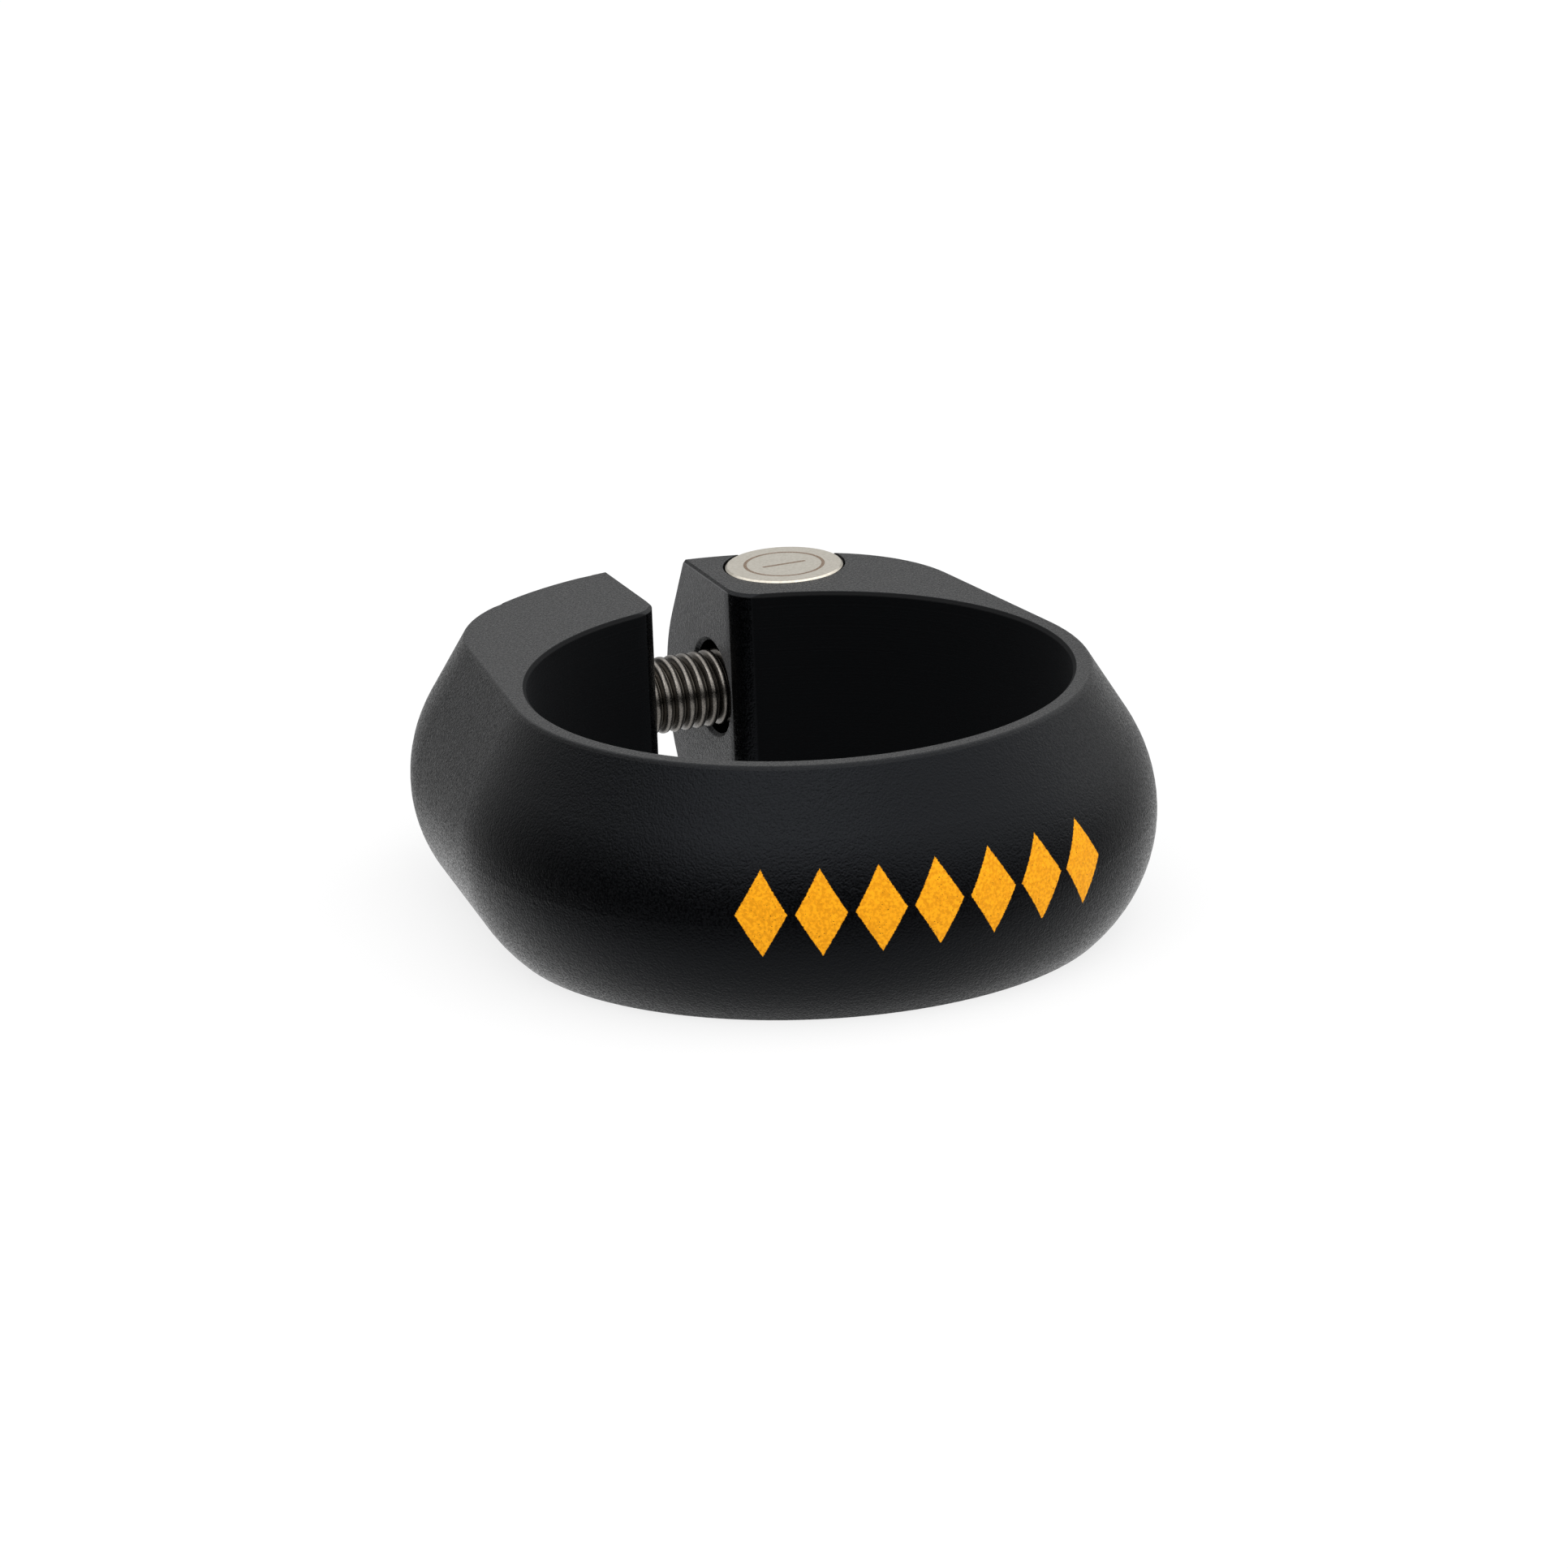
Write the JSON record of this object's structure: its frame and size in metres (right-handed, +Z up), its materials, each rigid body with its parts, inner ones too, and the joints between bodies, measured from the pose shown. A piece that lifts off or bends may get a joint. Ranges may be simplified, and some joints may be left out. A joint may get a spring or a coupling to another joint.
{
  "type": "seatpost clamp",
  "caption": "Black split-ring bicycle seatpost clamp with a swelling outer wall, closed by a cross bolt whose head seats on an upright swivelling barrel washer.",
  "frame": {"origin": "on the bore axis, in the plane of the underside", "axes": "+Z up the bore, +Y towards the slit, +X towards the lug that holds the barrel washer and the bolt head"},
  "size_m": [0.045, 0.053, 0.0168],
  "materials": {
    "anodised_body": "bead blasted and anodised black, matte",
    "bolt_steel": "rolled stainless steel thread, dark in the roots",
    "barrel_steel": "satin turned stainless steel"
  },
  "bodies": {
    "clamp": {"clamp_body": "anodised_body"},
    "barrel": {"barrel_washer": "barrel_steel"},
    "bolt": {"clamp_bolt": "bolt_steel"}
  },
  "joints": [
    {"name": "barrel_swivel", "type": "hinge", "parent": "clamp", "child": "barrel", "pos_m": [0.00802, 0.0223, 0.00918], "axis": [0, 0, 1], "range_deg": [-2, 2]},
    {"name": "bolt_turn", "type": "hinge", "parent": "clamp", "child": "bolt", "pos_m": [0.01047, 0.0223, 0.00918], "axis": [-1, 0, 0], "range_deg": [0, 720]}
  ]
}
